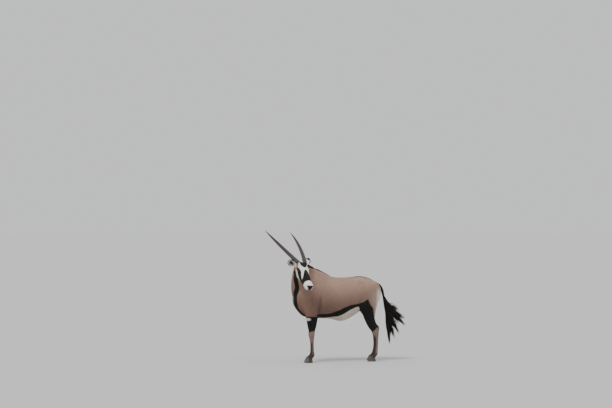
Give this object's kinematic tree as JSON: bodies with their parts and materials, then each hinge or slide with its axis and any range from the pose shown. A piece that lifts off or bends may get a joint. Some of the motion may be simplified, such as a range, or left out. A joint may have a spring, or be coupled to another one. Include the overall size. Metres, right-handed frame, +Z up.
{
  "type": "gemsbok",
  "caption": "Life-size standing antelope with its head turned to its left, long straight ringed horns, cloven hooves and a tufted tail.",
  "frame": {"origin": "middle of the animal's footprint seen from above, horns and tail included, at the level of its soles", "axes": "+X from the chest to the tail, +Y to the animal's right, +Z up"},
  "size_m": [1.8048, 1.0276, 1.6848],
  "materials": {
    "coat": "short flat hair, fawn grey with black stripes",
    "face_coat": "short flat hair, white with black patches",
    "leg_coat": "short flat hair, black above and pale below",
    "long_hair": "long coarse black hair",
    "horn": "dark horn, ringed below and smooth above",
    "hoof": "dark worn horn",
    "eye": "wet and dark brown"
  },
  "bodies": {
    "root": {"torso": "coat", "neck": "coat", "head": "face_coat", "ear_left": "face_coat", "ear_right": "face_coat", "eye_left": "eye", "eye_right": "eye", "horn_left": "horn", "horn_right": "horn", "leg_front_left": "leg_coat", "leg_front_right": "leg_coat", "leg_hind_left": "leg_coat", "leg_hind_right": "leg_coat", "hoof_front_left_a": "hoof", "hoof_front_left_b": "hoof", "hoof_front_right_a": "hoof", "hoof_front_right_b": "hoof", "hoof_hind_left_a": "hoof", "hoof_hind_left_b": "hoof", "hoof_hind_right_a": "hoof", "hoof_hind_right_b": "hoof", "tail": "long_hair"}
  },
  "joints": []
}
